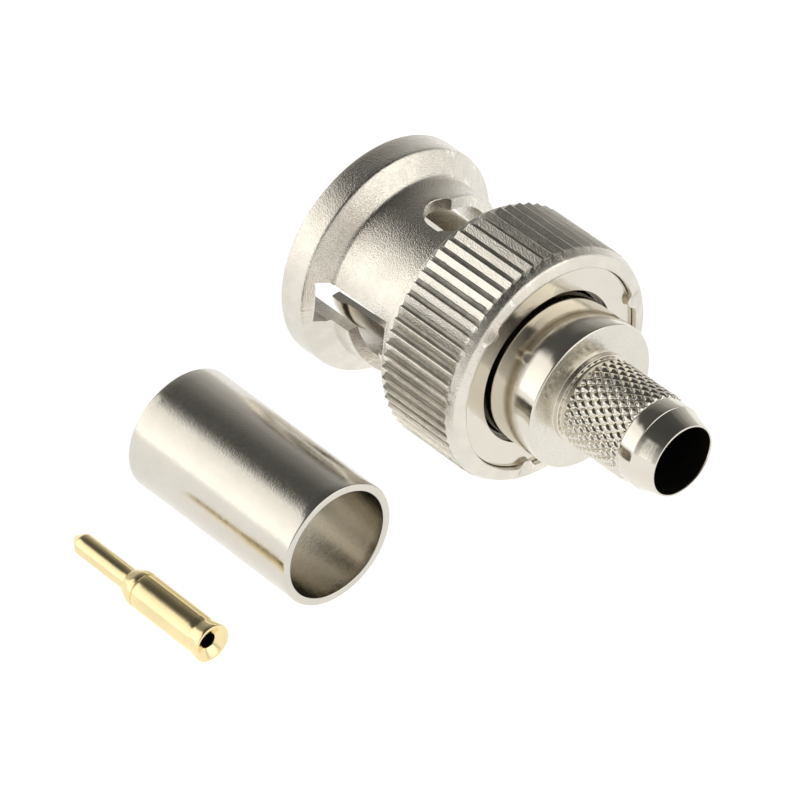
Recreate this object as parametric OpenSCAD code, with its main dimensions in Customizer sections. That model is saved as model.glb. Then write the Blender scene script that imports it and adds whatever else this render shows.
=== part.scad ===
// BNC cable plug of the crimp kind, as it is supplied: the plug with its bayonet
// coupling nut, and beside it the loose centre contact and the loose crimp ferrule.
// The plug's axis is X. Its mating end faces -X and its cable end faces +X.
// The origin is on the axis, in the plane of the nut's front face.
// Round pieces are drawn along Z, from the mating end to the cable end, and then laid
// along X. Angles round the plug start at its top and grow towards the -Y side.

/* [Coupling nut] */
// Diameter over the ribs of the grip
nut_d = 14.5; // [14.2:0.1:15.5]
// Length of the nut
nut_len = 14.55; // [14.25:0.05:15.5]
// How far the front flange stays inside the ribs
flange_inset = 0.25; // [0:0.01:0.4]
// Width of the flange's rim
flange_w = 1.71; // [1.2:0.01:2]
// Length of the sloped back of the flange, if it ran on to the barrel
flange_slope = 0.92; // [0.5:0.02:1.2]
// Diameter of the barrel between flange and grip
barrel_d = 11.24; // [10.9:0.02:11.8]
// Fillet between the flange's back and the barrel
barrel_fillet = 0.2; // [0.1:0.05:0.6]
// Bore that the mating jack enters
nut_bore_d = 9.8; // [9.7:0.02:10]
// Bevel at the mouth of the bore
mouth_bevel = 0.35; // [0.1:0.05:0.5]
// Distance from the front face to the grip
grip_start = 8.32; // [8:0.02:8.8]
// Length of the ribs
rib_len = 5.23; // [4.6:0.01:5.3]
// Number of ribs
rib_count = 60; // [36:1:64]
// Height of the ribs over the bottom of the grooves
rib_h = 0.28; // [0.15:0.01:0.4]
// Width of a rib's flat top
rib_top_w = 0.44; // [0.3:0.01:0.5]
// How much wider a rib is at its foot
rib_spread = 0.05; // [0:0.01:0.2]
// Smooth lip in front of the ribs
rib_lip = 0.33; // [0.1:0.01:0.4]
// Length over which a groove runs out at the back
groove_runout = 0.36; // [0.1:0.02:0.6]
// Small bevels on the nut's outer edges
nut_edge = 0.12; // [0.05:0.01:0.2]
// How far the bevelled band behind the ribs draws in
band_draw = 0.22; // [0.1:0.01:0.3]
// Inside diameter of the rim that holds the back washer
rim_bore_d = 12.46; // [12.3:0.02:12.8]
// How far the domed rim stands behind its outer edge
rim_dome = 0.2; // [0.1:0.01:0.3]

/* [Bayonet tracks] */
// Where the first entry groove lies, from the top towards the -Y side
entry_angle = 85; // [0:1:180]
// Width of an entry groove
entry_w = 2.36; // [2.2:0.02:2.5]
// How far an entry groove cuts into the flange, as a share of the flange's height
entry_share = 0.53; // [0.4:0.01:0.7]
// How deep an entry groove runs from the front face
entry_len = 7; // [6.6:0.05:7.4]
// How far the nut turns between entry and lock
turn_angle = 93; // [85:1:95]
// Width of the ramp, along the axis
ramp_w = 2.5; // [2.3:0.02:2.6]
// Depth of the ramp's middle at the entry groove
ramp_from = 5.05; // [4.8:0.01:5.3]
// Depth of the ramp's middle at the lock
ramp_to = 6.3; // [6:0.01:6.5]
// Diameter of the hole that the lug locks into
lock_d = 2.86; // [2.5:0.02:3]
// Depth of the middle of that hole
lock_depth = 5.88; // [5.6:0.01:6]

/* [Washers] */
// Hole of the back washer
back_hole_d = 9.37; // [9.2:0.01:9.6]
// Thickness of the back washer
back_t = 0.6; // [0.4:0.02:0.7]
// How far the back washer lies below the rim
back_recess = 0.36; // [0.26:0.01:0.5]
// Clearance round the back washer in its seat
washer_fit = 0.04; // [0.02:0.01:0.06]
// Width of a stake that holds the back washer
stake_w = 1.1; // [0.8:0.05:1.4]
// How far a stake reaches over the back washer
stake_reach = 0.42; // [0.2:0.02:0.6]
// Thickness of a stake
stake_t = 0.2; // [0.1:0.01:0.24]
// Where the first of the three stakes lies
stake_angle = 44; // [0:1:119]
// Thickness of the thrust washer
thrust_t = 0.4; // [0.3:0.02:0.5]
// Height of the wave washer at rest
wave_h = 1.15; // [1:0.02:1.3]
// Thickness of the wave washer's strip
wave_t = 0.22; // [0.15:0.01:0.26]
// Number of its waves
wave_count = 3; // [3:1:4]

/* [Plug body] */
// Diameter of the neck
neck_d = 8.84; // [8.6:0.02:8.9]
// Length of the neck behind the back washer
neck_show = 3.38; // [3:0.02:3.8]
// Bevel on the neck's back edge
neck_edge = 0.14; // [0.05:0.01:0.2]
// Diameter of the collar inside the nut
collar_d = 10.9; // [10.6:0.02:11]
// Width of the collar
collar_w = 1.05; // [0.8:0.05:1.2]
// Diameter of the boss at the root of the crimp spigot
boss_d = 5.5; // [5.4:0.02:6]
// Length of that boss
boss_w = 0.33; // [0.2:0.01:0.5]
// Diameter of the plain ring behind the knurl
plain_d = 5.16; // [5:0.02:5.3]
// Length of the crimp spigot from the neck's back face
spigot_len = 7.24; // [6.6:0.02:7.6]
// Diameter over the knurl
knurl_d = 5.4; // [5.2:0.02:5.6]
// Depth of the knurl
knurl_depth = 0.14; // [0.08:0.01:0.2]
// Length of the knurled stretch
knurl_len = 4.25; // [3.4:0.05:4.6]
// Distance between the knurl's teeth along the axis
knurl_pitch = 0.85; // [0.6:0.05:1.1]
// Number of the knurl's teeth round the spigot
knurl_count = 30; // [24:1:36]
// How far the turned relief before the knurl lies under the knurl's grooves
relief_depth = 0.05; // [0.02:0.01:0.1]
// Length of that relief
relief_w = 0.3; // [0.2:0.02:0.4]
// Length of the tapered end
taper_len = 1.36; // [1:0.02:1.5]
// Diameter of the tapered end at its tip
taper_d = 4.36; // [4.3:0.02:4.6]
// Bore for the cable's dielectric
cable_bore_d = 4.1; // [3.9:0.02:4.12]
// Bevel at the mouth of that bore
bore_bevel = 0.06; // [0.02:0.01:0.08]

/* [Outer contact] */
// Outside diameter of the contact sleeve
sleeve_d = 7.92; // [7.8:0.02:8]
// Thickness of its wall
sleeve_wall = 0.42; // [0.38:0.01:0.46]
// How far its open end lies behind the nut's front face
sleeve_set = 1.1; // [0.8:0.05:1.6]
// How far the bead at its open end stands out
bead_h = 0.2; // [0.1:0.01:0.24]
// Width of that bead
bead_w = 1.1; // [0.7:0.05:1.4]
// Number of slots between the spring fingers
finger_slots = 4; // [4:1:6]
// Where the first slot lies, from the top towards the -Y side
slot_angle = -2; // [-45:1:45]
// Width of a slot
finger_gap = 1; // [0.3:0.05:1.2]
// Length of a slot
finger_len = 5.6; // [4:0.1:6]
// How far the fingers are spread outwards at their open end
finger_spread = 0.18; // [0:0.02:0.24]
// How deep the sleeve is pressed into the body
sleeve_grip = 2.5; // [2:0.1:2.8]

/* [Insulator and gasket] */
// How far the insulator's front lies behind the sleeve's open end
insulator_set = 5.2; // [5:0.05:5.5]
// Thickness of the insulator's front web, which stops the centre contact
web_t = 0.7; // [0.5:0.05:0.9]
// Length of the chamber behind the sleeve that the insulator fills
tail_len = 1; // [0.6:0.05:1.4]
// Thickness of the gasket
gasket_t = 1; // [0.8:0.05:1.2]
// Clearance between gasket and nut bore
gasket_clear = 0.1; // [0.06:0.01:0.14]
// Radial clearance of the centre contact in the insulator
contact_fit = 0.05; // [0.03:0.01:0.08]

/* [Centre contact] */
// Diameter of the pin
pin_d = 1.3; // [1.2:0.01:1.36]
// Length of the pin, with its tip
pin_len = 4.75; // [4.4:0.05:5]
// Length of the tip's cone
tip_len = 0.68; // [0.4:0.02:0.8]
// Diameter of the flat on the tip
tip_d = 0.36; // [0.2:0.02:0.5]
// Diameter of the crimp barrel
crimp_d = 2.13; // [2:0.01:2.18]
// Length of the crimp barrel, with its collar
crimp_len = 6.73; // [6:0.01:7.2]
// Length of the collar's cone
collar_cone = 0.93; // [0.5:0.01:1]
// Straight part of the collar, before the ring groove
collar_ring = 0.15; // [0.1:0.01:0.5]
// Width of the ring groove
ring_w = 0.1; // [0.06:0.01:0.16]
// Depth of the ring groove
ring_depth = 0.07; // [0.04:0.01:0.1]
// Diameter of the flared back end
flare_d = 2.28; // [2.2:0.02:2.4]
// Length of the flare
flare_len = 0.6; // [0.3:0.02:0.7]
// Diameter of the wire hole
wire_d = 0.9; // [0.8:0.02:1]
// Depth of the wire hole
wire_depth = 4.6; // [4:0.1:5]
// Diameter of the funnel's mouth
funnel_d = 2.04; // [1.6:0.02:2.08]
// Depth of the funnel
funnel_depth = 0.33; // [0.2:0.01:0.7]

/* [Crimp ferrule] */
// Outside diameter
ferrule_d = 7.52; // [7.2:0.02:7.8]
// Thickness of the wall
ferrule_wall = 0.48; // [0.4:0.01:0.6]
// Length
ferrule_len = 13; // [12:0.1:14]
// Bevel on its edges
ferrule_edge = 0.06; // [0.02:0.01:0.1]

/* [How the pieces lie] */
// Gap between the nut and the ferrule beside it
ferrule_gap = 4.66; // [2:0.02:8]
// Where the ferrule's near end lies along the plug
ferrule_x = 14.73; // [12:0.01:18]
// Gap between the ferrule and the centre contact beside it
contact_gap = 3.36; // [2:0.02:6]
// Where the centre contact's back end lies along the plug
contact_x = 14.08; // [12:0.01:18]

/* [Fits] */
// Gap between faces that bear on each other
seat_gap = 0.03; // [0.01:0.01:0.05]
// Radial clearance of the washers that slide on the neck
slide_fit = 0.12; // [0.1:0.01:0.2]
// Radial clearance of the pressed and pushed-in pieces
press_fit = 0.02; // [0.01:0.01:0.03]

/* [Hidden] */
$fn = 96;
past = 1; // how far a cutter runs past a face

nut_r = nut_d / 2;
flange_r = nut_r - flange_inset;
barrel_r = barrel_d / 2;
entry_r = barrel_r + (flange_r - barrel_r) * entry_share;
nut_bore_r = nut_bore_d / 2;
rim_bore_r = rim_bore_d / 2;
grip_r = nut_r - rib_h;
band_r = nut_r - nut_edge / 2;
neck_r = neck_d / 2;
plain_r = plain_d / 2;
knurl_low_r = knurl_d / 2 - knurl_depth;
relief_r = min(knurl_low_r, plain_r) - relief_depth;
sleeve_r = sleeve_d / 2;
chamber_r = sleeve_r - sleeve_wall;
crimp_r = crimp_d / 2;
ferrule_r = ferrule_d / 2;
contact_r = max(crimp_d, flare_d) / 2;

// stations along the axis, from the nut's front face
ribs_from = grip_start + rib_lip;
ribs_to = ribs_from + rib_len;
back_rear = nut_len - back_recess;
back_front = back_rear - back_t;
thrust_rear = back_front - seat_gap;
thrust_front = thrust_rear - thrust_t;
collar_rear = thrust_front - wave_h - 2 * seat_gap;
collar_front = collar_rear - collar_w;
nut_step = collar_front - seat_gap;
cavity_r = collar_d / 2 + 2 * slide_fit;
neck_rear = back_rear + neck_show;
spigot_end = neck_rear + spigot_len;
boss_end = neck_rear + boss_w;
knurl_from = boss_end + relief_w;
knurl_to = knurl_from + knurl_len;
taper_from = spigot_end - taper_len;
sleeve_rear = collar_front + sleeve_grip;
insulator_front = sleeve_set + insulator_set;
insulator_rear = sleeve_rear + tail_len;
rest_z = -nut_r;
ferrule_y = -(nut_r + ferrule_gap + ferrule_r);
contact_y = ferrule_y - ferrule_r - contact_gap - contact_r;

module along_x() rotate([0, 90, 0]) children();

// turns what lies on +X to an angle that starts at the plug's top
module at_angle(a) rotate([0, 0, 180 + a]) children();

// points of an arc in a profile, from angle a to angle b
function arc(centre, r, a, b, steps) =
    [for (i = [0:steps]) let (t = a + (b - a) * i / steps)
        [centre[0] + r * cos(t), centre[1] + r * sin(t)]];

// the fillet that touches both the flange's sloped back and the barrel
slope_angle = atan2(flange_slope, flange_r - barrel_r);
fillet_r = barrel_r + barrel_fillet;
fillet_z = flange_w
    + (barrel_fillet + (flange_r - fillet_r) * sin(slope_angle)) / cos(slope_angle);

nut_profile = concat(
    [[0, 0], [flange_r - nut_edge, 0], [flange_r, nut_edge], [flange_r, flange_w]],
    arc([fillet_r, fillet_z], barrel_fillet, 270 - slope_angle, 180, 4),
    [[barrel_r, grip_start], [grip_r - nut_edge, grip_start], [grip_r, grip_start + nut_edge],
     [grip_r, ribs_to - groove_runout], [band_r, ribs_to],
     [band_r - band_draw, nut_len - rim_dome], [rim_bore_r + nut_edge, nut_len],
     [0, nut_len]]);

// all ribs as one outline: each has a flat top and sloped flanks
rib_foot_r = grip_r - past / 4;
rib_top_half = asin(rib_top_w / 2 / nut_r);
rib_foot_half = asin((rib_top_w / 2 + rib_spread) / grip_r);
function polar(r, a) = [r * cos(a), r * sin(a)];
rib_outline = [for (i = [0:rib_count - 1]) let (a = 360 * i / rib_count)
    each [polar(rib_foot_r, a - rib_foot_half), polar(nut_r, a - rib_top_half),
          polar(nut_r, a + rib_top_half), polar(rib_foot_r, a + rib_foot_half)]];

module grip_ribs()
    translate([0, 0, ribs_from]) linear_extrude(rib_len) polygon(rib_outline);

// the tongues of rim metal that are punched over the back washer
module stakes()
    intersection() {
        for (i = [0:2]) at_angle(stake_angle + 120 * i)
            translate([rim_bore_r + stake_w / 2 - stake_reach, 0, back_rear + seat_gap])
                cylinder(d = stake_w, h = stake_t);
        cylinder(r = rim_bore_r + nut_edge, h = nut_len);
    }

// the ramp is cut by a bar that winds round the axis while it moves back
ramp_steps = 24;
ramp_in = nut_bore_r - past;
ramp_out = barrel_r + past / 2;
ramp_points = [for (i = [0:ramp_steps]) let (
        a = turn_angle * i / ramp_steps,
        z = ramp_from + (ramp_to - ramp_from) * i / ramp_steps)
    each [for (c = [[ramp_in, -1], [ramp_out, -1], [ramp_out, 1], [ramp_in, 1]])
        [c[0] * cos(a), c[0] * sin(a), z + c[1] * ramp_w / 2]]];
ramp_sides = [for (i = [0:ramp_steps - 1], k = [0:3]) let (
        p = 4 * i + k, q = 4 * i + (k + 1) % 4)
    each [[p, q, q + 4], [p, q + 4, p + 4]]];
ramp_ends = let (n = 4 * ramp_steps)
    [[3, 2, 1], [3, 1, 0], [n, n + 1, n + 2], [n, n + 2, n + 3]];

module entry_groove()
    intersection() {
        translate([0, -entry_w / 2, -past]) cube([entry_r + past, entry_w, past + entry_len]);
        translate([0, 0, -past]) cylinder(r = entry_r, h = past + entry_len);
    }

module lock_hole()
    rotate([0, 0, turn_angle]) {
        translate([0, 0, lock_depth]) rotate([0, 90, 0])
            cylinder(d = lock_d, h = ramp_out, $fn = 48);
        translate([0, 0, ramp_to]) rotate([0, 90, 0])
            cylinder(d = ramp_w, h = ramp_out, $fn = 48);
        translate([0, -ramp_w / 2, lock_depth])
            cube([ramp_out, ramp_w, ramp_to - lock_depth]);
    }

module bayonet_track() {
    entry_groove();
    polyhedron(ramp_points, concat(ramp_sides, ramp_ends));
    lock_hole();
}

module nut_bores() {
    translate([0, 0, -past]) cylinder(r = nut_bore_r, h = past + nut_step + past);
    translate([0, 0, -past])
        cylinder(r1 = nut_bore_r + mouth_bevel + past, r2 = nut_bore_r, h = mouth_bevel + past);
    translate([0, 0, nut_step]) cylinder(r = cavity_r, h = nut_len);
    translate([0, 0, back_front]) cylinder(r = rim_bore_r, h = nut_len);
}

// die-cast nut: flange, barrel with two bayonet tracks, ribbed grip, staked rim
module coupling_nut() color("silver") along_x() {
    difference() {
        union() {
            rotate_extrude() polygon(nut_profile);
            grip_ribs();
        }
        nut_bores();
        for (a = [0, 180]) at_angle(entry_angle + a) bayonet_track();
    }
    stakes();
}

// a flat ring between two stations
module ring(inner_r, outer_r, from, to)
    translate([0, 0, from]) difference() {
        cylinder(r = outer_r, h = to - from);
        translate([0, 0, -past]) cylinder(r = inner_r, h = to - from + 2 * past);
    }

// flat washer that closes the nut's back
module back_washer() color("gainsboro") along_x()
    ring(back_hole_d / 2, rim_bore_r - washer_fit, back_front, back_rear);

// flat washer that the nut turns against
module thrust_washer() color("darkgray") along_x()
    ring(neck_r + slide_fit, cavity_r - slide_fit, thrust_front, thrust_rear);

// spring ring that holds the nut back and gives when the plug is locked
wave_steps = 24 * wave_count;
wave_mid = (collar_rear + thrust_front) / 2;
wave_swing = (wave_h - wave_t) / 2;
wave_in = neck_r + 2 * slide_fit;
wave_out = cavity_r - 2 * slide_fit;
wave_points = [for (i = [0:wave_steps - 1]) let (
        a = 360 * i / wave_steps,
        z = wave_mid + wave_swing * cos(wave_count * a))
    each [for (c = [[wave_in, -1], [wave_out, -1], [wave_out, 1], [wave_in, 1]])
        [c[0] * cos(a), c[0] * sin(a), z + c[1] * wave_t / 2]]];
wave_faces = [for (i = [0:wave_steps - 1], k = [0:3]) let (
        j = (i + 1) % wave_steps,
        p = 4 * i + k, q = 4 * i + (k + 1) % 4,
        r = 4 * j + (k + 1) % 4, s = 4 * j + k)
    each [[p, q, r], [p, r, s]]];

module wave_washer() color("dimgray") along_x()
    polyhedron(wave_points, wave_faces);

body_profile = [
    [0, collar_front], [collar_d / 2, collar_front], [collar_d / 2, collar_rear],
    [neck_r, collar_rear], [neck_r, neck_rear - neck_edge], [neck_r - neck_edge, neck_rear],
    [boss_d / 2, neck_rear], [boss_d / 2, boss_end],
    [relief_r, boss_end], [relief_r, knurl_to - relief_depth],
    [plain_r, knurl_to - relief_depth], [plain_r, taper_from],
    [plain_r - relief_depth, taper_from], [taper_d / 2, spigot_end], [0, spigot_end]];

// diamond knurl: rows of teeth, where every second point stands on a crossing of two grooves
knurl_cols = 2 * knurl_count;
knurl_rows = 2 * round(knurl_len / knurl_pitch);
knurl_points = [for (j = [0:knurl_rows], i = [0:knurl_cols - 1]) let (
        low = (i + j) % 2 == 0 || j == 0 || j == knurl_rows,
        r = low ? knurl_low_r : knurl_d / 2)
    [r * cos(360 * i / knurl_cols), r * sin(360 * i / knurl_cols),
     knurl_from + knurl_len * j / knurl_rows]];
knurl_faces = [for (j = [0:knurl_rows - 1], i = [0:knurl_cols - 1]) let (
        n = (i + 1) % knurl_cols,
        a = j * knurl_cols + i, b = j * knurl_cols + n,
        c = a + knurl_cols, d = b + knurl_cols)
    each (i + j) % 2 == 0 ? [[a, d, b], [a, c, d]] : [[a, c, b], [b, c, d]]];
knurl_caps = [[for (i = [0:knurl_cols - 1]) i],
              [for (i = [knurl_cols - 1:-1:0]) knurl_rows * knurl_cols + i]];

module knurl() polyhedron(knurl_points, concat(knurl_faces, knurl_caps));

module body_bores() {
    translate([0, 0, collar_front - past])
        cylinder(r = sleeve_r + press_fit, h = past + sleeve_grip);
    translate([0, 0, sleeve_rear - past])
        cylinder(r = chamber_r, h = past + tail_len);
    translate([0, 0, insulator_rear - past])
        cylinder(d = cable_bore_d, h = spigot_end - insulator_rear + 2 * past);
    translate([0, 0, spigot_end - bore_bevel])
        cylinder(r1 = cable_bore_d / 2, r2 = cable_bore_d / 2 + bore_bevel + past,
                 h = bore_bevel + past);
}

// turned body: collar, neck, knurled crimp spigot, and the bore right through
module plug_body() color("silver") along_x() difference() {
    union() {
        rotate_extrude() polygon(body_profile);
        knurl();
    }
    body_bores();
}

// the fingers spread evenly from just before the ends of their slots to the open end
spread_len = finger_len - finger_gap;
spread_end = sleeve_set + spread_len;
bead_r = sleeve_r + finger_spread + bead_h;
sleeve_profile = [
    [chamber_r + finger_spread, sleeve_set], [sleeve_r + finger_spread, sleeve_set],
    [bead_r, sleeve_set + bead_w / 3], [bead_r, sleeve_set + bead_w * 2 / 3],
    [sleeve_r + finger_spread * (1 - bead_w / spread_len), sleeve_set + bead_w],
    [sleeve_r, spread_end], [sleeve_r, sleeve_rear - seat_gap],
    [chamber_r, sleeve_rear - seat_gap], [chamber_r, spread_end]];

// sleeve with spring fingers that meets the jack's body
module outer_contact() color("lightgray") along_x() difference() {
    rotate_extrude() polygon(sleeve_profile);
    for (i = [0:finger_slots - 1]) at_angle(slot_angle + 360 * i / finger_slots)
        translate([0, -finger_gap / 2, sleeve_set - past])
            cube([bead_r + past, finger_gap, finger_len + past]);
}

// white insulator: its front web lets the pin through and stops the crimp barrel
module insulator() color("white") along_x() difference() {
    translate([0, 0, insulator_front])
        cylinder(r = chamber_r - press_fit, h = insulator_rear - seat_gap - insulator_front);
    translate([0, 0, insulator_front - past])
        cylinder(r = pin_d / 2 + contact_fit, h = web_t + 2 * past);
    translate([0, 0, insulator_front + web_t])
        cylinder(r = contact_r + contact_fit, h = insulator_rear - insulator_front);
}

// soft ring that the jack's front edge seals on
module gasket() color("indianred") along_x()
    ring(sleeve_r + press_fit, nut_bore_r - gasket_clear,
         collar_front - seat_gap - gasket_t, collar_front - seat_gap);

// stations on the contact run from the tip
contact_len = pin_len + crimp_len;
ring_from = pin_len + collar_cone + collar_ring;
contact_profile = [
    [0, 0], [tip_d / 2, 0], [pin_d / 2, tip_len], [pin_d / 2, pin_len],
    [crimp_r, pin_len + collar_cone], [crimp_r, ring_from],
    [crimp_r - ring_depth, ring_from], [crimp_r - ring_depth, ring_from + ring_w],
    [crimp_r, ring_from + ring_w], [crimp_r, contact_len - flare_len],
    [flare_d / 2, contact_len - flare_len / 2], [flare_d / 2, contact_len],
    [0, contact_len]];

// gold pin with its crimp barrel, lying beside the ferrule
module centre_contact()
    color("gold") translate([contact_x - contact_len, contact_y, rest_z + contact_r])
        along_x() difference() {
            rotate_extrude($fn = 64) polygon(contact_profile);
            translate([0, 0, contact_len - wire_depth]) cylinder(d = wire_d, h = wire_depth + past);
            translate([0, 0, contact_len - funnel_depth])
                cylinder(d1 = wire_d, d2 = funnel_d, h = funnel_depth);
            translate([0, 0, contact_len]) cylinder(d = funnel_d, h = past);
        }

ferrule_in_r = ferrule_r - ferrule_wall;
ferrule_profile = [
    [ferrule_in_r + ferrule_edge, 0], [ferrule_r - ferrule_edge, 0],
    [ferrule_r, ferrule_edge], [ferrule_r, ferrule_len - ferrule_edge],
    [ferrule_r - ferrule_edge, ferrule_len], [ferrule_in_r + ferrule_edge, ferrule_len],
    [ferrule_in_r, ferrule_len - ferrule_edge], [ferrule_in_r, ferrule_edge]];

// plain tube that is crimped over the cable's braid, lying beside the plug
module crimp_ferrule()
    color("silver") translate([ferrule_x - ferrule_len, ferrule_y, rest_z + ferrule_r])
        along_x() rotate_extrude() polygon(ferrule_profile);

coupling_nut();
back_washer();
thrust_washer();
wave_washer();
plug_body();
outer_contact();
insulator();
gasket();
centre_contact();
crimp_ferrule();
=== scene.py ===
"""Visual model of a crimp BNC cable plug, with its loose centre contact and crimp ferrule.

Sizes are in millimetres along the plug's axis (station, from the nut's front face) and
from it (radius). Angles round an axis start at the top and grow towards the -Y side.
"""
import math

import bmesh
import bpy
import numpy as np
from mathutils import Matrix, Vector


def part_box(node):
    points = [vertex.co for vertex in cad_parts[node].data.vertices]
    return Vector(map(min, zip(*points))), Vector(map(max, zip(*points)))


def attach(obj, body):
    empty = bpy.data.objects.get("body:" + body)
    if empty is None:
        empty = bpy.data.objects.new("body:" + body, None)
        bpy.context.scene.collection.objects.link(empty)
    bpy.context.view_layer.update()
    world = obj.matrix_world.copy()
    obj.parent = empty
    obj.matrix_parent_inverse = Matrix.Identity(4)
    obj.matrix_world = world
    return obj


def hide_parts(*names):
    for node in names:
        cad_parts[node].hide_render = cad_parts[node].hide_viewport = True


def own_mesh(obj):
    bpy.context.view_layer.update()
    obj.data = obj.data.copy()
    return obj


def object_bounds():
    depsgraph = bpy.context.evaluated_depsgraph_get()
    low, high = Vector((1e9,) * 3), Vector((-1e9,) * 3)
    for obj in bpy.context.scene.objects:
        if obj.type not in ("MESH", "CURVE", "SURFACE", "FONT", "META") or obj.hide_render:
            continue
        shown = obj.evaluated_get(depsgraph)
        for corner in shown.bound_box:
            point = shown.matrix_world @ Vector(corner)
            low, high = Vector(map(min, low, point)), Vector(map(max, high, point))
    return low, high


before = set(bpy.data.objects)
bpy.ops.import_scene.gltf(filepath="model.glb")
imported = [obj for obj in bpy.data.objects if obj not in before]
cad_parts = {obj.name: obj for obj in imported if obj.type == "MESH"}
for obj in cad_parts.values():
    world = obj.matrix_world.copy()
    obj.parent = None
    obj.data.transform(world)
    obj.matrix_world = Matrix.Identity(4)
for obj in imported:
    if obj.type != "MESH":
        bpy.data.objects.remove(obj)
CAD_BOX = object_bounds()
MM = 0.001
TAU = 2 * math.pi

# ---------------------------------------------------------------- sizes

NUT_LENGTH = 14.55
FLANGE_R, FLANGE_W, CONE_END = 7.0, 1.71, 2.63
BARREL_R, BORE_R, MOUTH = 5.62, 4.9, 0.35
GRIP_START, RIBS_FROM, RIBS_TO, RUNOUT = 8.32, 8.65, 13.88, 0.36
GRIP_R, RIB_R, RIB_COUNT = 6.97, 7.25, 60
BAND_R, BAND_END_R, RIM_R = 7.19, 6.97, 6.23
WASHER_BACK, WASHER_FRONT, WASHER_HOLE = 14.19, 13.59, 4.685
CAVITY_R, NUT_STEP = 5.69, 10.87
ENTRY_ANGLE, ENTRY_W, ENTRY_R, ENTRY_END = 85.0, 2.36, 6.35, 7.0
TURN, RAMP_W, RAMP_FROM, RAMP_TO = 93.0, 2.5, 5.05, 6.3
LOCK_D, LOCK_AT = 2.86, 5.88
STAKES = (44.0, 164.0, 284.0)

NECK_R, NECK_END, COLLAR_R, COLLAR_FROM, COLLAR_TO = 4.42, 17.57, 5.45, 10.9, 11.95
BOSS_R, BOSS_END, RELIEF_R = 2.75, 17.9, 2.51
KNURL_FROM, KNURL_TO, KNURL_R, KNURL_DEPTH = 18.2, 22.45, 2.7, 0.14
KNURL_COUNT, KNURL_PITCH = 30, 0.85
PLAIN_R, TAPER_FROM, TAPER_R, SPIGOT_END = 2.58, 23.45, 2.18, 24.81
CABLE_R, CHAMBER_R, SLEEVE_SEAT, CHAMBER_END = 2.05, 3.54, 13.4, 14.4

SLEEVE_R, SLEEVE_FRONT, SLEEVE_BACK, FINGER_LEN, FINGER_GAP = 3.96, 1.1, 13.37, 5.6, 1.0
FINGER_SPREAD, BEAD_H, BEAD_W, SLOT_ANGLE = 0.18, 0.2, 1.1, -2.0
WIRE_DEPTH = 4.6

# one rib and half the groove on each side of it: angles in degrees, and shares of its height
RIB_ACROSS = np.array([-3.0, -2.45, -2.15, -1.95, -1.8, -1.5, 0.0, 1.3, 1.6, 1.9, 2.2, 2.5])
RIB_SHAPE = np.array([0.0, 0.0, 0.1, 0.8, 0.97, 1.0, 0.66, 0.4, 0.33, 0.05, 0.0, 0.0])
RIB_RISE = 0.06

# the studio: (height, level) of the dome, and azimuth, half width, lowest and highest
# elevation of each soft light in degrees
DOME = ((0.0, 0.78), (0.16, 0.62), (0.42, 0.42), (0.64, 0.22), (0.8, 0.09), (1.0, 0.07))
LEFT_PANEL, LEFT_LEVEL = (229, 36, 0.5, 47), 1.0
RIGHT_PANEL, RIGHT_LEVEL = (25, 32, 8, 57), 1.1
FLOOR_SIDE, FLOOR_GLOW = 3.0, 0.86
LENS, CAMERA_PLACE = 282.17, (0.20678, -0.18074, 0.21575)
CAMERA_AIM = (-0.5780, 0.5102, -0.6369)

# ---------------------------------------------------------------- surfaces


def finish_mesh(name, points, faces, edge_angle=32.0):
    """A mesh in metres from points in millimetres, smooth except over edges sharper
    than edge_angle."""
    mesh = bpy.data.meshes.new(name)
    mesh.from_pydata((np.asarray(points) * MM).tolist(), [], np.asarray(faces).tolist())
    mesh.update()
    piece = bpy.data.objects.new(name, mesh)
    bpy.context.scene.collection.objects.link(piece)
    smooth_edges(piece, edge_angle)
    return piece


def smooth_edges(piece, edge_angle):
    """Shades a piece smooth and marks every edge that bends by more than edge_angle as sharp."""
    mesh = piece.data
    mesh.polygons.foreach_set("use_smooth", np.ones(len(mesh.polygons), bool))
    mesh.set_sharp_from_angle(angle=math.radians(edge_angle))
    mesh.update()


def grid_faces(rows, columns, rows_close=True):
    """Quads of a grid that closes round its columns and, if asked, round its rows."""
    last = rows if rows_close else rows - 1
    i, j = np.meshgrid(np.arange(last), np.arange(columns), indexing="ij")
    a, b = i * columns + j, i * columns + (j + 1) % columns
    c = ((i + 1) % rows) * columns
    return np.stack([a, b, c + (j + 1) % columns, c + j], -1).reshape(-1, 4)


def around(station, radius, turn, centre=(0.0, 0.0)):
    """Points at a station, a radius and a turn: x = station, y = -radius sin turn,
    z = radius cos turn, from the centre."""
    x = station + 0 * turn
    y = centre[0] - radius * np.sin(turn)
    z = centre[1] + radius * np.cos(turn)
    return np.stack(np.broadcast_arrays(x, y, z), -1).reshape(-1, 3)


def corner(before, at, after, radius, steps=4):
    """Points of a quadratic curve that rounds one corner of a profile: it starts and
    ends radius away from the corner, and its middle is pulled to it."""
    before, at, after = map(np.asarray, (before, at, after))
    first = at + (before - at) / np.linalg.norm(before - at) * radius
    last = at + (after - at) / np.linalg.norm(after - at) * radius
    t = np.linspace(0, 1, steps + 1)[:, None]
    return (1 - t) ** 2 * first + 2 * t * (1 - t) * at + t**2 * last


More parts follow.
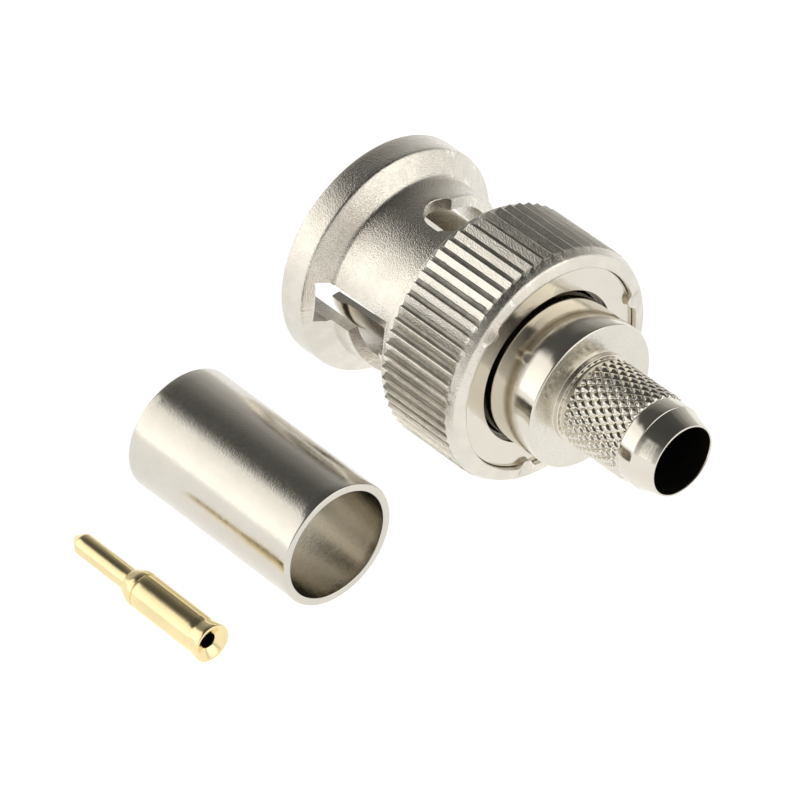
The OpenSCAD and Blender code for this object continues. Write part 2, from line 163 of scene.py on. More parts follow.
def profile(corners, closed=True, longest=1.0):
    """A line of (station, radius) points through corners of (station, radius, rounding),
    with long straight stretches divided."""
    c = [np.array(p[:2], float) for p in corners]
    n = len(c)
    rounded = []
    for k, p in enumerate(corners):
        inner = closed or 0 < k < n - 1
        if inner and p[2] > 0:
            rounded.append(corner(c[k - 1], c[k], c[(k + 1) % n], p[2]))
        else:
            rounded.append(c[k][None])
    line = np.concatenate(rounded + ([rounded[0][:1]] if closed else []))
    parts = []
    for a, b in zip(line[:-1], line[1:]):
        steps = max(1, int(math.ceil(np.linalg.norm(b - a) / longest)))
        parts.append(a + (b - a) * np.linspace(0, 1, steps, endpoint=False)[:, None])
    if not closed:
        parts.append(line[-1:])
    return np.concatenate(parts)


def lathe(name, line, columns=256, centre=(0.0, 0.0), closed=True, edge_angle=32.0):
    """Turned piece: a profile of (station, radius) points carried round the axis. An open
    profile ends on the axis."""
    turn = np.linspace(0, TAU, columns, endpoint=False)[None]
    points = around(line[:, :1], line[:, 1:], turn, centre)
    piece = finish_mesh(name, points, grid_faces(len(line), columns, closed), edge_angle)
    if not closed:
        weld(piece)
        smooth_edges(piece, edge_angle)
    outward(piece)
    return piece


def weld(piece, distance=1e-8):
    """Merges the points that meet at a pole."""
    mesh = bmesh.new()
    mesh.from_mesh(piece.data)
    bmesh.ops.remove_doubles(mesh, verts=mesh.verts, dist=distance)
    bmesh.ops.dissolve_degenerate(mesh, edges=mesh.edges, dist=distance)
    mesh.to_mesh(piece.data)
    mesh.free()


def outward(piece):
    """Turns a closed surface right side out: its volume, summed over its faces, is made positive."""
    mesh = piece.data
    mesh.calc_loop_triangles()
    co = np.empty(len(mesh.vertices) * 3)
    mesh.vertices.foreach_get("co", co)
    co = co.reshape(-1, 3)
    tri = np.empty(len(mesh.loop_triangles) * 3, int)
    mesh.loop_triangles.foreach_get("vertices", tri)
    a, b, c = co[tri.reshape(-1, 3)].transpose(1, 0, 2)
    if np.einsum("ij,ij->i", a, np.cross(b, c)).sum() < 0:
        mesh.flip_normals()


def cut(piece, cutters, edge_angle=32.0):
    """Takes the cutters out of a piece and keeps the result as its mesh."""
    for cutter in cutters:
        tool = piece.modifiers.new("cut", "BOOLEAN")
        tool.operation, tool.solver, tool.object = "DIFFERENCE", "MANIFOLD", cutter
    seen = piece.evaluated_get(bpy.context.evaluated_depsgraph_get())
    mesh = bpy.data.meshes.new_from_object(seen)
    piece.modifiers.clear()
    piece.data = mesh
    for cutter in cutters:
        bpy.data.objects.remove(cutter)
    smooth_edges(piece, edge_angle)


def ripple(a, b, seed, waves=9, low=1.0, high=6.0):
    """Smooth unevenness between -1 and 1: the mean of sine waves of random direction and
    phase over a and b."""
    rng = np.random.default_rng(seed)
    total = 0
    for _ in range(waves):
        k = rng.uniform(low, high, 2) * rng.choice([-1, 1], 2)
        total = total + np.sin(k[0] * a + k[1] * b + rng.uniform(0, TAU))
    return total / waves


# ---------------------------------------------------------------- finishes


def node_group(name, inputs, outputs):
    """An empty shader node group with named float or vector sockets."""
    group = bpy.data.node_groups.new(name, "ShaderNodeTree")
    for direction, sockets in (("INPUT", inputs), ("OUTPUT", outputs)):
        for label, kind in sockets.items():
            group.interface.new_socket(label, in_out=direction, socket_type=kind)
    return group, group.nodes.new("NodeGroupInput"), group.nodes.new("NodeGroupOutput")


class Wires:
    """Adds nodes to a tree in one line each: settings by name, and inputs by name as
    values or links."""

    def __init__(self, tree):
        self.tree = tree

    def add(self, kind, inputs=(), **settings):
        node = self.tree.nodes.new("ShaderNode" + kind)
        for key, value in settings.items():
            setattr(node, key, value)
        for key, value in dict(inputs).items():
            if isinstance(value, bpy.types.NodeSocket):
                self.tree.links.new(value, node.inputs[key])
            else:
                node.inputs[key].default_value = value
        return node

    def math(self, operation, a, b=0.0, clamp=False):
        return self.add("Math", {0: a, 1: b}, operation=operation, use_clamp=clamp).outputs[0]

    def ramp(self, value, low, high, to_low=0.0, to_high=1.0):
        ends = {"From Min": low, "From Max": high, "To Min": to_low, "To Max": to_high}
        node = self.add("MapRange", {"Value": value, **ends}, interpolation_type="SMOOTHSTEP")
        return node.outputs[0]

    def noise(self, vector, scale, detail=2.0, roughness=0.5):
        values = {"Vector": vector, "Scale": scale, "Detail": detail, "Roughness": roughness}
        return self.add("TexNoise", values).outputs[0]


def make_grain():
    """Cast or plated skin: two sizes of soft pebbles. Relief is a height, Tone a slow change of shade."""
    group, into, out = node_group(
        "Metal grain",
        {"Vector": "NodeSocketVector", "Pebbles per metre": "NodeSocketFloat"},
        {"Relief": "NodeSocketFloat", "Tone": "NodeSocketFloat", "Sheen": "NodeSocketFloat"},
    )
    w = Wires(group)
    vector, size = into.outputs[0], into.outputs[1]
    fine = w.noise(vector, size, 1.5, 0.55)
    broad = w.noise(vector, w.math("MULTIPLY", size, 0.45), 1.0)
    relief = w.math("ADD", w.math("MULTIPLY", fine, 0.8), w.math("MULTIPLY", broad, 0.2))
    group.links.new(relief, out.inputs[0])
    group.links.new(w.noise(vector, w.math("MULTIPLY", size, 0.06), 3.0, 0.6), out.inputs[1])
    group.links.new(w.noise(vector, w.math("MULTIPLY", size, 0.5), 2.0, 0.6), out.inputs[2])
    return group


def make_turning():
    """Turned skin: fine rings square to the axis, from noise that is drawn out round it."""
    group, into, out = node_group(
        "Turning marks",
        {"Vector": "NodeSocketVector", "Rings per metre": "NodeSocketFloat"},
        {"Relief": "NodeSocketFloat"},
    )
    w = Wires(group)
    along = w.add("SeparateXYZ", {0: into.outputs[0]}).outputs[0]
    line = w.add("CombineXYZ", {0: along}).outputs[0]
    group.links.new(w.noise(line, into.outputs[1], 4.0, 0.7), out.inputs[0])
    return group


def make_edge_rub_and_highlight():
    """Light rubbing of edges, lightened as a painted highlight: a mask that grows where the surface is
    convex, broken up by noise.
    """
    group, into, out = node_group(
        "Edge rub and painted highlight",
        {"Vector": "NodeSocketVector", "Convexity": "NodeSocketFloat"},
        {"Mask": "NodeSocketFloat"},
    )
    w = Wires(group)
    edge = w.ramp(into.outputs[1], 0.52, 0.6)
    broken = w.ramp(w.noise(into.outputs[0], 5000.0, 3.0), 0.35, 0.6)
    group.links.new(w.math("MULTIPLY", edge, broken, clamp=True), out.inputs[0])
    return group


GRAIN, TURNING, EDGE_RUB_AND_HIGHLIGHT = make_grain(), make_turning(), make_edge_rub_and_highlight()


def metal(
    name,
    colour,
    roughness,
    pebbles=9000.0,
    relief=0.1,
    relief_size=0.01,
    rings=0.0,
    ring_relief=0.0,
    tone=0.08,
    worn=None,
):
    """A plated metal: its colour and gloss change a little over the surface, with grain,
    turning marks, and rubbed edges lightened as a painted highlight."""
    material = bpy.data.materials.new(name)
    material.use_nodes = True
    tree = material.node_tree
    tree.nodes.clear()
    w = Wires(tree)
    out = w.add("OutputMaterial")
    place = w.add("TexCoord").outputs["Object"]
    grain = w.add("Group", node_tree=GRAIN)
    tree.links.new(place, grain.inputs[0])
    grain.inputs[1].default_value = pebbles
    dark = tuple(x * (1 - tone) for x in colour) + (1,)
    light = tuple(min(1, x * (1 + tone)) for x in colour) + (1,)
    shade = w.ramp(grain.outputs["Tone"], 0.35, 0.65)
    skin = w.add("Mix", {0: shade}, data_type="RGBA")
    skin.inputs[6].default_value, skin.inputs[7].default_value = dark, light
    colour_out = skin.outputs[2]
    # worn lightens convex edges: rubbed plating and a painted highlight together
    if worn:
        rub_and_highlight = w.add("Group", node_tree=EDGE_RUB_AND_HIGHLIGHT)
        tree.links.new(place, rub_and_highlight.inputs[0])
        tree.links.new(w.add("NewGeometry").outputs["Pointiness"], rub_and_highlight.inputs[1])
        edge = w.add("Mix", {0: rub_and_highlight.outputs[0], 6: colour_out}, data_type="RGBA")
        edge.inputs[7].default_value = tuple(worn) + (1,)
        colour_out = edge.outputs[2]
    height = w.math("MULTIPLY", grain.outputs["Relief"], relief)
    if rings:
        marks = w.add("Group", node_tree=TURNING)
        tree.links.new(place, marks.inputs[0])
        marks.inputs[1].default_value = rings
        height = w.math("ADD", height, w.math("MULTIPLY", marks.outputs[0], ring_relief))
    bump = w.add("Bump", {"Height": height, "Strength": 1.0, "Distance": relief_size * MM})
    rough = w.ramp(grain.outputs["Sheen"], 0.3, 0.7, roughness * 0.8, roughness * 1.25)
    skin_shader = w.add(
        "BsdfPrincipled",
        {"Base Color": colour_out, "Metallic": 1.0, "Roughness": rough, "Normal": bump.outputs[0]},
    )
    tree.links.new(skin_shader.outputs[0], out.inputs[0])
    return material


def plain(name, colour, roughness, pebbles=4000.0, relief=0.1, metallic=0.0, subsurface=0.0):
    """A plastic or rubber skin, or the near black painted shade of a bore: one colour that changes a
    little, with a soft grain.
    """
    material = bpy.data.materials.new(name)
    material.use_nodes = True
    tree = material.node_tree
    tree.nodes.clear()
    w = Wires(tree)
    out = w.add("OutputMaterial")
    place = w.add("TexCoord").outputs["Object"]
    grain = w.add("Group", node_tree=GRAIN)
    tree.links.new(place, grain.inputs[0])
    grain.inputs[1].default_value = pebbles
    skin = w.add("Mix", {0: w.ramp(grain.outputs["Tone"], 0.35, 0.65)}, data_type="RGBA")
    skin.inputs[6].default_value = tuple(x * 0.9 for x in colour) + (1,)
    skin.inputs[7].default_value = tuple(min(1, x * 1.08) for x in colour) + (1,)
    bump = w.add(
        "Bump",
        {"Height": w.math("MULTIPLY", grain.outputs["Relief"], relief), "Distance": 0.01 * MM},
    )
    rough = w.ramp(grain.outputs["Sheen"], 0.3, 0.7, roughness * 0.9, min(1.0, roughness * 1.1))
    shader = w.add(
        "BsdfPrincipled",
        {
            "Base Color": skin.outputs[2],
            "Metallic": metallic,
            "Roughness": rough,
            "Normal": bump.outputs[0],
            "Subsurface Weight": subsurface,
        },
    )
    shader.inputs["Subsurface Radius"].default_value = (0.4 * MM, 0.35 * MM, 0.3 * MM)
    tree.links.new(shader.outputs[0], out.inputs[0])
    return material


# its worn colour lightens convex edges: rubbed plating and a painted highlight
CAST_NICKEL = metal(
    "Cast nickel", (0.74, 0.7, 0.625), 0.2, pebbles=13000.0, relief=1.0, relief_size=0.034,
    tone=0.04, worn=(0.93, 0.9, 0.83),
)
# dark metal for the faces between the ribs: painted shade in the grooves
GROOVE_PAINTED_SHADE = metal(
    "Groove painted shade", (0.33, 0.315, 0.28), 0.42, pebbles=14000.0, relief=1.0, relief_size=0.03, tone=0.2,
)
BRIGHT_NICKEL = metal(
    "Bright nickel", (0.73, 0.69, 0.61), 0.11, pebbles=3000.0, relief=0.15, relief_size=0.02,
    rings=9000.0, ring_relief=0.08, tone=0.02,
)
FACED_NICKEL = metal(
    "Faced nickel", (0.73, 0.7, 0.625), 0.24, pebbles=6000.0, relief=0.3, relief_size=0.02, tone=0.02,
)
WASHER_NICKEL = metal(
    "Washer nickel", (0.73, 0.69, 0.61), 0.14, pebbles=3500.0, relief=0.3, relief_size=0.02, tone=0.02,
)
SATIN_NICKEL = metal(
    "Satin nickel", (0.68, 0.645, 0.575), 0.18, pebbles=9000.0, relief=0.3, relief_size=0.02,
    tone=0.02,
)
GOLD = metal(
    "Gold plate", (0.88, 0.74, 0.42), 0.14, pebbles=5000.0, relief=0.15, relief_size=0.02,
    rings=12000.0, ring_relief=0.25, tone=0.04,
)
SPRING_STEEL = metal("Spring steel", (0.2, 0.19, 0.17), 0.3, relief=0.3)
# near black metal for the cable bore and the wire hole: painted shade for the depth of the holes
PAINTED_BORE_SHADE = plain("Bore painted shade", (0.05, 0.045, 0.04), 0.5, metallic=1.0)
PTFE = plain("White insulator", (0.86, 0.86, 0.84), 0.45, subsurface=0.2)
RUBBER = plain("Red gasket", (0.42, 0.09, 0.05), 0.6)


def dress(piece, body, slot_name, *materials):
    """Gives a piece its materials and its CAD body; slot_name is not used."""
    piece.data.materials.clear()
    for material in materials:
        piece.data.materials.append(material)
    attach(piece, body)
    return piece


def second_finish(piece, chosen, number=1):
    """Gives another material, by its number, to the faces whose centre, in millimetres,
    is chosen by a test."""
    mesh = piece.data
    centres = np.empty(len(mesh.polygons) * 3)
    mesh.polygons.foreach_get("center", centres)
    x, y, z = (centres.reshape(-1, 3) / MM).T
    held = np.empty(len(mesh.polygons), int)
    mesh.polygons.foreach_get("material_index", held)
    mesh.polygons.foreach_set("material_index", np.where(chosen(x, y, z), number, held))
    mesh.update()


# ---------------------------------------------------------------- coupling nut


def nut_cutter(angle):
    """The three tools that cut one bayonet track, as closed grids: a straight bar for the
    entry, a bar that winds round the axis for the ramp, and a round-ended bar for the lock.
    Each widens where it leaves the barrel, which bevels the edge of the window."""
    start = math.radians(angle)
    flare, edge = 0.07, BARREL_R - 0.06
    inner, outer = BORE_R - 0.6, 6.9
    depth = np.array([inner, edge, edge + 0.02, edge + 0.04, edge + 0.07, outer])
    open_by = np.array([0.0, 0.0, 0.3, 0.65, 1.6, 1.6]) * flare
    tools = []

    half = ENTRY_W / 2 + np.where(depth < ENTRY_R, open_by, 0)
    r = np.concatenate([depth[:-1], [ENTRY_R], [ENTRY_R], depth[-2::-1]])
    w = np.concatenate([half[:-1], half[-2:-1], -half[-2:-1], -half[-2::-1]])
    stations = np.array([-1.0, ENTRY_END])[:, None]
    y = -(r * math.sin(start) + w * math.cos(start))[None]
    z = (r * math.cos(start) - w * math.sin(start))[None]
    tools.append(closed_bar("entry", np.stack(np.broadcast_arrays(stations, y, z), -1)))

    t = np.linspace(0, 1, 49)[:, None]
    turn = start + math.radians(TURN) * t
    middle = RAMP_FROM + (RAMP_TO - RAMP_FROM) * t
    r = np.concatenate([depth, depth[::-1]])[None]
    w = np.concatenate([RAMP_W / 2 + open_by, -(RAMP_W / 2 + open_by)[::-1]])[None]
    bar = np.stack(np.broadcast_arrays(middle + w, -r * np.sin(turn), r * np.cos(turn)), -1)
    tools.append(closed_bar("ramp", bar))

    end = start + math.radians(TURN)
    u = np.linspace(0, TAU, 64, endpoint=False)[None]
    reach = np.where(np.cos(u) < 0, LOCK_D / 2, RAMP_W / 2)
    grow = open_by[:, None]
    along = np.where(np.cos(u) < 0, LOCK_AT, RAMP_TO) + (reach + grow) * np.cos(u)
    aside = (np.where(np.cos(u) < 0.2, LOCK_D / 2, RAMP_W / 2) + grow) * np.sin(u)
    r = depth[:, None]
    y = -(r * math.sin(end) + aside * math.cos(end))
    z = r * math.cos(end) - aside * math.sin(end)
    tools.append(closed_bar("lock", np.stack(np.broadcast_arrays(along, y, z), -1)))
    return tools


def closed_bar(name, rings):
    """A closed tube through rings of points, with a flat cap over each end."""
    rows, columns = rings.shape[:2]
    piece = finish_mesh(name, rings.reshape(-1, 3), grid_faces(rows, columns, False))
    mesh = bmesh.new()
    mesh.from_mesh(piece.data)
    bmesh.ops.holes_fill(mesh, edges=mesh.edges)
    bmesh.ops.triangulate(mesh, faces=mesh.faces)
    bmesh.ops.recalc_face_normals(mesh, faces=mesh.faces)
    mesh.to_mesh(piece.data)
    mesh.free()
    outward(piece)
    return piece


def make_nut():
    """Nut: a closed profile carried round the axis. Over the grip the radius follows the
    ribs: a top that slopes to one side, steep flanks, and grooves that run out at the back."""
    per_rib = 12
    columns = RIB_COUNT * per_rib
    turn = np.linspace(0, TAU, columns, endpoint=False)[None]
    lip = profile(
        [(GRIP_START, BARREL_R, 0.05), (GRIP_START, GRIP_R, 0.08), (RIBS_FROM, GRIP_R, 0)],
        False, 0.4,
    )
    front = profile(
        [
            (MOUTH, BORE_R, 0), (0, BORE_R + MOUTH, 0.08), (0, FLANGE_R, 0.16),
            (FLANGE_W, FLANGE_R - 0.02, 0.14), (CONE_END, BARREL_R, 0.25),
            (GRIP_START, BARREL_R, 0),
        ],
        False, 0.45,
    )
    back = profile(
        [
            (RIBS_TO, BAND_R, 0), (14.35, BAND_END_R, 0.12), (NUT_LENGTH, 6.42, 0.1),
            (NUT_LENGTH - 0.02, RIM_R, 0.08), (WASHER_FRONT, RIM_R, 0),
            (WASHER_FRONT, CAVITY_R, 0), (NUT_STEP, CAVITY_R, 0),
            (NUT_STEP, BORE_R, 0), (MOUTH, BORE_R, 0),
        ],
        False, 0.5,
    )
    first = RIBS_FROM + np.array([0, 0.015, RIB_RISE])
    middle = np.arange(RIBS_FROM + 0.24, RIBS_TO - RUNOUT - 0.1, 0.24)
    rib_s = np.concatenate([first, middle, np.linspace(RIBS_TO - RUNOUT, RIBS_TO, 5)[:-1]])
    rows_front = np.concatenate([front[:-1], lip[1:-1]])
    base = np.concatenate([rows_front, np.stack([rib_s, np.full_like(rib_s, GRIP_R)], -1), back[:-1]])
    s = base[:, :1] + 0 * turn
    r = base[:, 1:] + 0 * turn

    rows = slice(len(rows_front), len(rows_front) + len(rib_s))
    place = rib_s[:, None]
    rib = (np.arange(columns) // per_rib)[None]
    column = np.arange(columns) % per_rib
    even = np.linspace(RIB_ACROSS[0], -RIB_ACROSS[0], per_rib, endpoint=False)
    turn = turn + np.radians(RIB_ACROSS - even)[column][None]
    rough = ripple(rib * 7.1, place * 9.0, 5, 14, 0.8, 3.5)
    height = (RIB_R - GRIP_R) * RIB_SHAPE[column][None] * (1 + 0.03 * rough)
    floor = np.interp(place, [RIBS_FROM, RIBS_TO - RUNOUT, RIBS_TO], [GRIP_R, GRIP_R, BAND_R])
    start = np.clip((place - RIBS_FROM) / RIB_RISE, 0, 1) ** 0.5
    end = np.interp(place, [RIBS_TO - 0.12, RIBS_TO], [0, 0.04])
    r[rows] = np.maximum(floor, GRIP_R + height * start - end)

    outer_rows = slice(0, len(rows_front) + len(rib_s) + 12)
    skin = s[outer_rows]
    r[outer_rows] += 0.004 * ripple(skin * 1.1, turn[0] * 6.0 + 0 * skin, 11, 14, 0.7, 4.0)
    seam = np.exp(-(((turn - math.radians(90)) / math.radians(0.5)) ** 2))
    r += 0.02 * seam * (s < GRIP_START) * (base[:, 1:] > BORE_R + 0.5)
    for angle in STAKES:
        off = (turn - math.radians(angle)) * RIM_R
        push = np.exp(-((off / 0.45) ** 4))
        rim = (base[:, 1:] < 6.6) & (base[:, 1:] > 6.1) & (base[:, :1] > WASHER_BACK - 0.05)
        over = np.interp(base[:, :1], [WASHER_BACK - 0.05, WASHER_BACK + 0.1], [0, 1])
        r -= 0.36 * push * rim * over
        s -= 0.1 * push * rim * (base[:, :1] > NUT_LENGTH - 0.1)
    nut = finish_mesh("coupling-nut", around(s, r, turn), grid_faces(len(base), columns), 30)
    outward(nut)
    cut(nut, nut_cutter(ENTRY_ANGLE) + nut_cutter(ENTRY_ANGLE + 180), 30)
    dress(nut, "nut", "cast_nickel", CAST_NICKEL, GROOVE_PAINTED_SHADE)

    # the faces in the grooves between the ribs take the dark second material: painted shade
    def in_grooves(x, y, z):
        radius = np.hypot(y, z)
        along = (x > RIBS_FROM + 0.02) & (x < RIBS_TO - RUNOUT)
        return along & (radius < GRIP_R + 0.1) & (radius > GRIP_R - 0.02)

    second_finish(nut, in_grooves)
    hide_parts("coupling_nut")
    return nut


# ---------------------------------------------------------------- turned pieces


def make_body():
    """Body: a closed profile carried round the axis. Over the knurl the radius follows two
    families of helical grooves: the nearer groove sets the depth."""
    columns = KNURL_COUNT * 12
    turn = np.linspace(0, TAU, columns, endpoint=False)[None]
    before = profile(
        [
            (COLLAR_FROM, SLEEVE_R + 0.02, 0), (COLLAR_FROM, COLLAR_R, 0.05),
            (COLLAR_TO, COLLAR_R, 0.05), (COLLAR_TO, NECK_R, 0.05), (NECK_END, NECK_R, 0.13),
            (NECK_END, BOSS_R, 0.05), (BOSS_END, BOSS_R, 0.06), (BOSS_END + 0.02, RELIEF_R, 0.04),
            (KNURL_FROM, RELIEF_R, 0),
        ],
        False, 0.5,
    )
    after = profile(
        [
            (KNURL_TO, RELIEF_R + 0.03, 0), (KNURL_TO + 0.02, PLAIN_R, 0.02),
            (TAPER_FROM, PLAIN_R, 0.03), (TAPER_FROM + 0.02, PLAIN_R - 0.04, 0.02),
            (SPIGOT_END, TAPER_R, 0.04), (SPIGOT_END, CABLE_R + 0.03, 0.02),
            (SPIGOT_END - 0.08, CABLE_R, 0.02), (CHAMBER_END, CABLE_R, 0),
            (CHAMBER_END, CHAMBER_R, 0), (SLEEVE_SEAT, CHAMBER_R, 0),
            (SLEEVE_SEAT, SLEEVE_R + 0.02, 0), (COLLAR_FROM, SLEEVE_R + 0.02, 0),
        ],
        False, 0.4,
    )
    knurl_s = np.linspace(KNURL_FROM, KNURL_TO, 86)
    base = np.concatenate([before, np.stack([knurl_s, knurl_s * 0 + RELIEF_R], -1), after[:-1]])
    s, r = base[:, :1] + 0 * turn, base[:, 1:] + 0 * turn
    rows = slice(len(before), len(before) + len(knurl_s))
    place = knurl_s[:, None]
    step = turn * KNURL_COUNT / TAU
    rise = (place - KNURL_FROM) / KNURL_PITCH
    one, two = (step + rise) % 1, (step - rise) % 1
    near = np.minimum(np.minimum(one, 1 - one), np.minimum(two, 1 - two)) * 2
    tooth = np.clip(near / 0.62, 0, 1) ** 0.85
    row, column = np.floor(step + rise), np.floor(step - rise)
    worn = 0.9 + 0.1 * ripple(row * 1.7, column * 2.3, 3, 10, 0.5, 3.0)
    ends = np.clip(np.minimum(place - KNURL_FROM, KNURL_TO - place) / 0.08, 0, 1)
    r[rows] = RELIEF_R + ends * (KNURL_R - KNURL_DEPTH - RELIEF_R + KNURL_DEPTH * tooth * worn)
    body = finish_mesh("plug-body", around(s, r, turn), grid_faces(len(base), columns), 40)
    outward(body)
    dress(body, "plug", "bright_nickel", BRIGHT_NICKEL, PAINTED_BORE_SHADE, FACED_NICKEL)
    # the cable bore takes the near black second material: painted shade
    second_finish(body, lambda x, y, z: (np.hypot(y, z) < CABLE_R + 0.01) & (x > CHAMBER_END))
    second_finish(body, lambda x, y, z: (x > NECK_END - 0.005) & (x < NECK_END + 0.005), 2)
    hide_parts("plug_body")


def make_sleeve():
    """Outer contact: a thin turned sleeve that spreads towards its open end, with a bead
    there, sawn into fingers."""
    bead = SLEEVE_R + FINGER_SPREAD + BEAD_H
    bend = SLEEVE_FRONT + FINGER_LEN - FINGER_GAP
    line = profile(
        [
            (SLEEVE_FRONT, CHAMBER_R + FINGER_SPREAD, 0.08), (SLEEVE_FRONT, bead - 0.06, 0.12),
            (SLEEVE_FRONT + 0.75 * BEAD_W, bead, 0.3),
            (SLEEVE_FRONT + BEAD_W, SLEEVE_R + 0.8 * FINGER_SPREAD, 0.15), (bend, SLEEVE_R, 0),
            (SLEEVE_BACK, SLEEVE_R, 0), (SLEEVE_BACK, CHAMBER_R, 0), (bend, CHAMBER_R, 0),
        ],
        True, 0.8,
    )
    sleeve = lathe("outer-contact", line, 192)
    half = FINGER_GAP / 2
    for k in range(2):
        turn = math.radians(SLOT_ANGLE + 90 * k)
        across = np.array([-half, half, half, -half])[None]
        up = np.array([-6.0, -6.0, 6.0, 6.0])[None]
        stations = np.array([SLEEVE_FRONT - 1, SLEEVE_FRONT + FINGER_LEN])[:, None]
        y = up * math.sin(turn) + across * math.cos(turn)
        z = up * math.cos(turn) - across * math.sin(turn)
        slot = closed_bar("slot", np.stack(np.broadcast_arrays(stations, y, z), -1))
        cut(sleeve, [slot])
    dress(sleeve, "plug", "bright_nickel", BRIGHT_NICKEL)
    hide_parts("outer_contact")


def make_back_washer():
    """Back washer: a flat ring with softened edges."""
    line = profile(
        [
            (WASHER_FRONT, WASHER_HOLE, 0), (WASHER_FRONT, 6.19, 0), (WASHER_BACK, 6.19, 0.04),
            (WASHER_BACK, WASHER_HOLE, 0.06),
        ],
        True, 0.5,
    )
    washer = lathe("back-washer", line, 192)
    dress(washer, "nut", "bright_nickel", WASHER_NICKEL)
    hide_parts("back_washer")


def make_ferrule():
    """Crimp ferrule: a plain tube with rolled edges, lying beside the plug."""
    low, high = (np.array(v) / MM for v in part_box("crimp_ferrule"))
    outer = (high[2] - low[2]) / 2
    centre = ((low[1] + high[1]) / 2, low[2] + outer)
    inner = outer - 0.48
    line = profile(
        [
            (low[0], inner, 0.1), (low[0], outer, 0.12), (high[0], outer, 0.12),
            (high[0], inner, 0.1),
        ],
        True, 0.5,
    )
    ferrule = lathe("crimp-ferrule", line, 256, centre)
    dress(ferrule, "plug", "satin_nickel", SATIN_NICKEL)
    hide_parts("crimp_ferrule")


def make_contact():
    """Centre contact: a turned pin that starts and ends on its axis, with a blind wire hole."""
    low, high = (np.array(v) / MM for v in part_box("centre_contact"))
    flare = (high[2] - low[2]) / 2
    centre = ((low[1] + high[1]) / 2, low[2] + flare)
    tip, back = low[0], high[0]
    line = profile(
        [
            (tip, 0, 0), (tip, 0.18, 0.06), (tip + 0.68, 0.65, 0.12), (back - 6.73, 0.65, 0.05),
            (back - 6.55, 0.86, 0.08), (back - 5.98, 1.065, 0.12), (back - 5.65, 1.065, 0.03),
            (back - 5.64, 0.995, 0.02), (back - 5.56, 0.995, 0.02), (back - 5.55, 1.065, 0.03),
            (back - 1.1, 1.065, 0.2), (back - 0.84, 1.03, 0.12), (back - 0.45, 1.1, 0.1),
            (back - 0.2, flare, 0.08), (back, flare, 0.05), (back, 1.0, 0.03),
            (back - 0.33, 0.45, 0.04), (back - WIRE_DEPTH, 0.45, 0), (back - WIRE_DEPTH, 0, 0),
        ],
        False, 0.4,
    )
    contact = lathe("centre-contact", line, 128, centre, closed=False)
    dress(contact, "plug", "gold", GOLD, PAINTED_BORE_SHADE)

    # the wire hole takes the near black second material: painted shade
    def in_wire_hole(x, y, z):
        radius = np.hypot(y - centre[0], z - centre[1])
        return (radius < 0.46) & (x > back - WIRE_DEPTH - 0.1) & (x < back - 0.36)

    second_finish(contact, in_wire_hole)
    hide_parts("centre_contact")


def make_wave_washer():
    """Wave washer: a thin ring whose station follows three waves round the axis. It
    keeps its waves here; the real one flattens as the nut is drawn forward."""
    low, high = (np.array(v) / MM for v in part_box("wave_washer"))
    middle, thick = (low[0] + high[0]) / 2, 0.22
    swing = (high[0] - low[0] - thick) / 2
    turn = np.linspace(0, TAU, 144, endpoint=False)[None]
    wave = middle + swing * np.cos(3 * (turn - math.pi))
    inner, outer = NECK_R + 0.24, CAVITY_R - 0.24
    side = np.array([-0.5, -0.5, 0.5, 0.5])[:, None] * thick
    radius = np.array([inner, outer, outer, inner])[:, None]
    spring = finish_mesh("wave-washer", around(wave + side, radius, turn), grid_faces(4, 144))
    outward(spring)
    dress(spring, "plug", "steel", SPRING_STEEL)
    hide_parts("wave_washer")
    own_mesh(spring)


make_nut()
make_body()
make_sleeve()
make_back_washer()
make_ferrule()
make_contact()
make_wave_washer()

for node, material, slot_name in (
    ("thrust_washer", SPRING_STEEL, "steel"),
    ("insulator", PTFE, "insulator_white"),
    ("gasket", RUBBER, "gasket_rubber"),
):
    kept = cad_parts[node]
    kept.data.materials.clear()
    kept.data.materials.append(material)

# ---------------------------------------------------------------- stage, light and camera


def make_floor():
    """A flat white floor that keeps a soft shadow: part of its white is its own for the eye
    and for gloss, the rest is lit."""
    low = CAD_BOX[0].z
    mesh = bpy.data.meshes.new("Floor")
    signs = ((-1, -1), (1, -1), (1, 1), (-1, 1))
    corners = [(i * FLOOR_SIDE, j * FLOOR_SIDE, low) for i, j in signs]
    mesh.from_pydata(corners, [], [(0, 1, 2, 3)])
    floor = bpy.data.objects.new("Floor", mesh)
    bpy.context.scene.collection.objects.link(floor)
    material = bpy.data.materials.new("White floor")
    material.use_nodes = True
    tree = material.node_tree
    tree.nodes.clear()
    w = Wires(tree)
    rays = w.add("LightPath")
    seen = w.math("MAXIMUM", rays.outputs["Is Camera Ray"], rays.outputs["Is Glossy Ray"])
    seen = w.math("MAXIMUM", seen, rays.outputs["Is Transmission Ray"])
    lit = w.add("BsdfDiffuse", {"Color": (0.5, 0.5, 0.5, 1)})
    own = w.add("Emission", {"Strength": w.math("MULTIPLY", seen, FLOOR_GLOW)})
    both = w.add("AddShader", {0: lit.outputs[0], 1: own.outputs[0]})
    tree.links.new(both.outputs[0], w.add("OutputMaterial").inputs[0])
    mesh.materials.append(material)


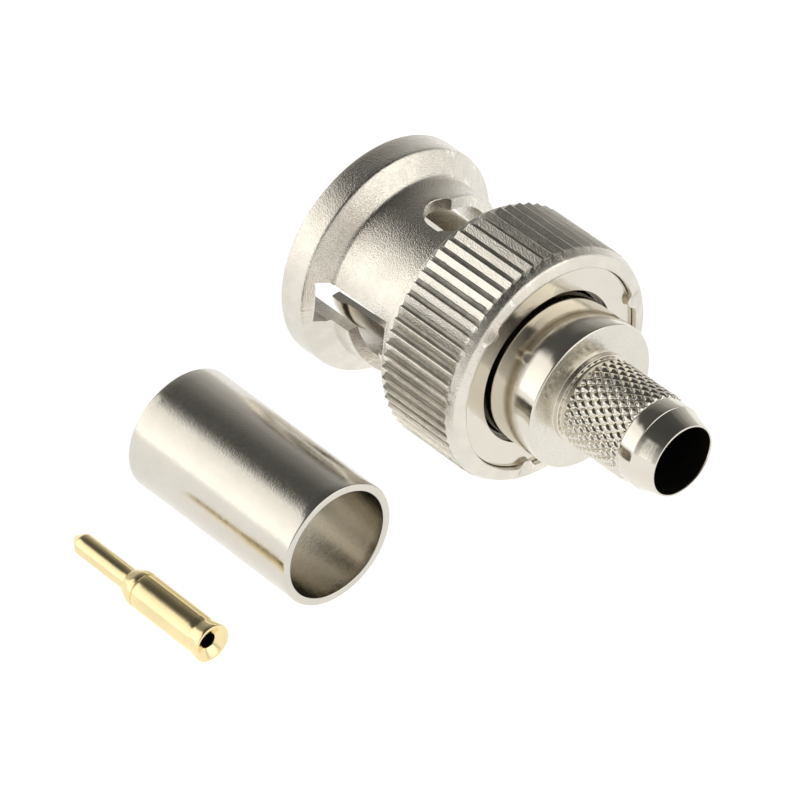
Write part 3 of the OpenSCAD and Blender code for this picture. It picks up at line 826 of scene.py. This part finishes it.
def make_light():
    """Studio round the part: pale near the horizon, dark overhead, with one large soft
    light at the left of the view and one at its right."""
    world = bpy.data.worlds.new("Studio")
    bpy.context.scene.world = world
    world.use_nodes = True
    tree = world.node_tree
    tree.nodes.clear()
    w = Wires(tree)
    towards = w.add("TexCoord").outputs["Generated"]
    height = w.add("SeparateXYZ", {0: towards}).outputs[2]
    dome = w.add("ValToRGB", {0: height})
    ramp = dome.color_ramp
    ramp.interpolation = "EASE"
    while len(ramp.elements) < len(DOME):
        ramp.elements.new(0.5)
    for element, (place, level) in zip(ramp.elements, DOME):
        element.position = place
        element.color = (level, level, level, 1)

    def panel(azimuth, wide, low, high, edge=0.05):
        """Mask of a soft-edged light: its azimuth from +X in degrees, half its width, its
        lowest and highest elevation."""
        facing = (math.cos(math.radians(azimuth)), math.sin(math.radians(azimuth)), 0)
        beside = (-facing[1], facing[0], 0)
        ahead, aside = (
            w.add("VectorMath", {0: towards, 1: way}, operation="DOT_PRODUCT").outputs["Value"]
            for way in (facing, beside)
        )
        turn = w.math("ABSOLUTE", w.math("ARCTAN2", aside, ahead))
        half = math.radians(wide)
        lower, upper = math.sin(math.radians(low)), math.sin(math.radians(high))
        mask = w.ramp(turn, half - edge, half + edge, 1, 0)
        mask = w.math("MULTIPLY", mask, w.ramp(height, lower - edge, lower + edge))
        return w.math("MULTIPLY", mask, w.ramp(height, upper - edge, upper + edge, 1, 0))

    left = w.math("MULTIPLY", panel(*LEFT_PANEL), LEFT_LEVEL)
    right = w.math("MULTIPLY", panel(*RIGHT_PANEL), RIGHT_LEVEL)
    level = w.math("ADD", dome.outputs[0], w.math("ADD", left, right))
    studio = w.add("Background", {"Color": (1, 0.985, 0.95, 1), "Strength": level})
    white = w.add("Background", {"Color": (1, 1, 1, 1), "Strength": 1.0})
    eye = w.add("LightPath").outputs["Is Camera Ray"]
    mixed = w.add("MixShader", {0: eye, 1: studio.outputs[0], 2: white.outputs[0]})
    tree.links.new(mixed.outputs[0], w.add("OutputWorld").inputs[0])


def make_camera():
    """A long lens, 39.6 degrees above the ground."""
    camera = bpy.data.cameras.new("Camera")
    camera.lens, camera.sensor_width = LENS, 36.0
    camera.clip_start, camera.clip_end = 0.02, 20.0
    seat = bpy.data.objects.new("Camera", camera)
    bpy.context.scene.collection.objects.link(seat)
    seat.location = CAMERA_PLACE
    seat.rotation_euler = Vector(CAMERA_AIM).to_track_quat("-Z", "Y").to_euler()
    bpy.context.scene.camera = seat


make_floor()
make_light()
make_camera()
bpy.context.scene.view_settings.view_transform = "Standard"
